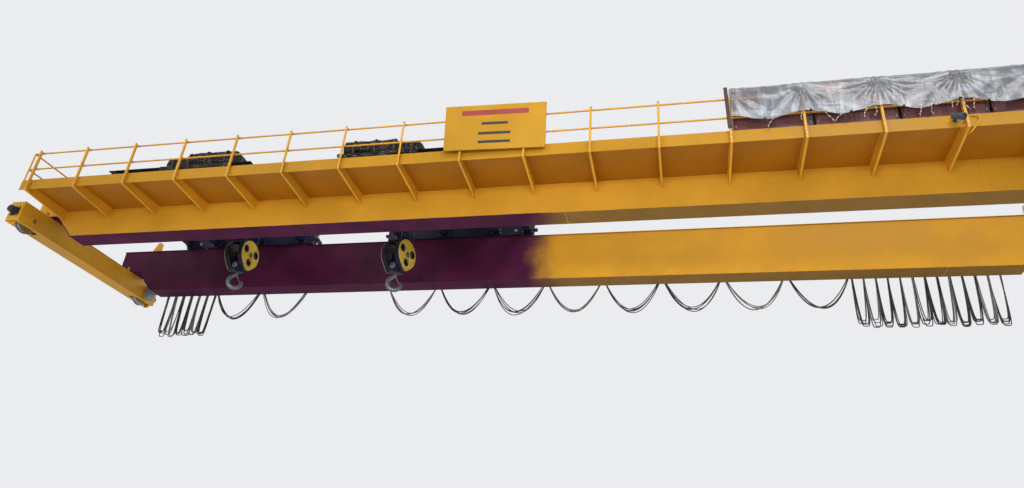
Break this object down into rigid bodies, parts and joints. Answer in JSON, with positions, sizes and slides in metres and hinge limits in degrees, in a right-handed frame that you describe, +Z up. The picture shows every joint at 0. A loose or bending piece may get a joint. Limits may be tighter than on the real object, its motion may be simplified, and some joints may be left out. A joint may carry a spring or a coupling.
{
  "type": "overhead bridge crane",
  "caption": "Double girder overhead travelling crane with rope trolleys, hook blocks, a railed walkway with cabinets and a festoon cable, for an indoor runway.",
  "frame": {"origin": "middle of the span and of the wheelbase, level with the heads of the runway rails", "axes": "+X along the girders, from the left runway rail to the right one as seen from the walkway side; +Y along the runway, away from the walkway; +Z up"},
  "size_m": [27.52, 6.9031, 3.932],
  "materials": {
    "girder_paint": "satin orange yellow paint, dusty",
    "rail_steel": "rolled steel, polished head",
    "buffer_rubber": "matt",
    "wheel_steel": "machined tread",
    "drive_grey": "semi-gloss paint",
    "walkway_paint": "satin orange yellow paint, dusty",
    "sign_paint": "gloss yellow",
    "cabinet_paint": "matt maroon paint",
    "film": "crumpled translucent film",
    "lamp_grey": "semi-gloss paint",
    "galvanised": "zinc coated",
    "cable_rubber": "matt",
    "trolley_navy": "satin dark navy paint",
    "drum_steel": "paint with greased grooves",
    "sheave_iron": "greased",
    "black_film": "tied black film, wrinkled",
    "rope_steel": "greased wire rope",
    "guard_yellow": "satin yellow paint",
    "block_navy": "satin navy paint",
    "hook_steel": "satin dark blue grey",
    "latch_steel": "zinc plated"
  },
  "bodies": {
    "bridge": {"front_girder_webs": "girder_paint", "front_girder_flanges": "girder_paint", "rear_girder_webs": "girder_paint", "rear_girder_flanges": "girder_paint", "girder_end_plates": "girder_paint", "trolley_rails": "rail_steel", "trolley_end_stops": "girder_paint", "end_carriages": "girder_paint", "carriage_buffers": "buffer_rubber", "bridge_wheels": "wheel_steel", "bridge_drives": "drive_grey", "walkway_floor": "walkway_paint", "walkway_edge": "walkway_paint", "walkway_brackets": "walkway_paint", "handrail_posts": "walkway_paint", "handrail_rails": "walkway_paint", "sign_board": "sign_paint", "sign_arms": "walkway_paint", "walkway_cabinets": "cabinet_paint", "cover_sheet": "film", "walkway_lamp": "lamp_grey", "festoon_track": "galvanised", "right_festoon": "cable_rubber", "left_festoon": "cable_rubber"},
    "right_trolley": {"right_trolley_side_beams": "trolley_navy", "right_trolley_cross_beams": "trolley_navy", "right_trolley_deck": "trolley_navy", "right_trolley_wheels": "wheel_steel", "right_trolley_buffers": "buffer_rubber", "right_tow_arm": "trolley_navy", "right_hoist_drum": "drum_steel", "right_hoist_drive": "drive_grey", "right_equaliser": "sheave_iron", "right_wrapped_drive": "black_film", "right_ropes": "rope_steel"},
    "right_hook_block": {"right_block_guards": "guard_yellow", "right_block_sheaves": "sheave_iron", "right_block_body": "block_navy"},
    "right_hook": {"right_hook": "hook_steel", "right_hook_latch": "latch_steel"},
    "left_trolley": {"left_trolley_side_beams": "trolley_navy", "left_trolley_cross_beams": "trolley_navy", "left_trolley_deck": "trolley_navy", "left_trolley_wheels": "wheel_steel", "left_trolley_buffers": "buffer_rubber", "left_tow_arm": "trolley_navy", "left_hoist_drum": "drum_steel", "left_hoist_drive": "drive_grey", "left_equaliser": "sheave_iron", "left_wrapped_drive": "black_film", "left_ropes": "rope_steel"},
    "left_hook_block": {"left_block_guards": "guard_yellow", "left_block_sheaves": "sheave_iron", "left_block_body": "block_navy"},
    "left_hook": {"left_hook": "hook_steel", "left_hook_latch": "latch_steel"}
  },
  "joints": [
    {"name": "right_trolley_travel", "type": "slide", "parent": "bridge", "child": "right_trolley", "axis": [1, 0, 0], "range_m": [-1.1, 12.5], "deforming": ["right_festoon"]},
    {"name": "right_hoist", "type": "slide", "parent": "right_trolley", "child": "right_hook_block", "axis": [0, 0, -1], "range_m": [-0.8, 9], "deforming": ["right_ropes"]},
    {"name": "right_hook_swivel", "type": "hinge", "parent": "right_hook_block", "child": "right_hook", "pos_m": [-3.42, 0, 0.13], "axis": [0, 0, 1], "continuous": true},
    {"name": "left_trolley_travel", "type": "slide", "parent": "bridge", "child": "left_trolley", "axis": [-1, 0, 0], "range_m": [-1.1, 0.95], "deforming": ["left_festoon"]},
    {"name": "left_hoist", "type": "slide", "parent": "left_trolley", "child": "left_hook_block", "axis": [0, 0, -1], "range_m": [-0.6, 9], "deforming": ["left_ropes"]},
    {"name": "left_hook_swivel", "type": "hinge", "parent": "left_hook_block", "child": "left_hook", "pos_m": [-8.28, 0, 0.33], "axis": [0, 0, 1], "continuous": true}
  ]
}
